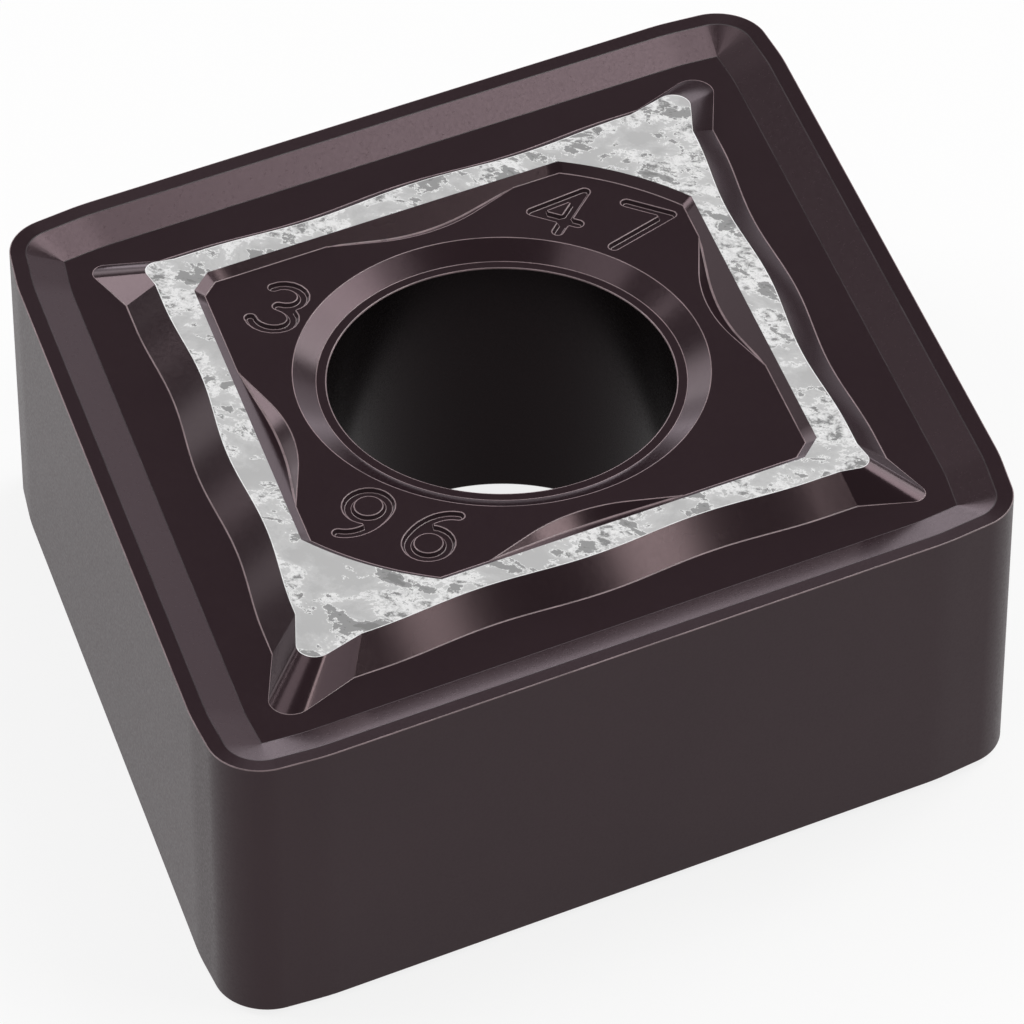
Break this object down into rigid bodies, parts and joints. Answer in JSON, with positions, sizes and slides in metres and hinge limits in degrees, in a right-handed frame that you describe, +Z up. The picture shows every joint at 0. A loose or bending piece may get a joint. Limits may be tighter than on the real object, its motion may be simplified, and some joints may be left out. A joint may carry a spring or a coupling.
{
  "type": "carbide insert",
  "caption": "Double-sided rhombic turning insert with a waved chip breaker, a raised seat ring and a countersunk bore.",
  "frame": {"origin": "on the axis of the bore, in the plane of the lower seat", "axes": "+X along the long diagonal, from one cutting corner to the other; +Z up along the bore, through the shortest extent; +Y toward a blunt corner"},
  "size_m": [0.0186, 0.016, 0.0049],
  "materials": {
    "insert": "satin dark plum-brown coating; the seat rings are ground bare and bright"
  },
  "bodies": {
    "root": {"insert": "insert"}
  },
  "joints": []
}
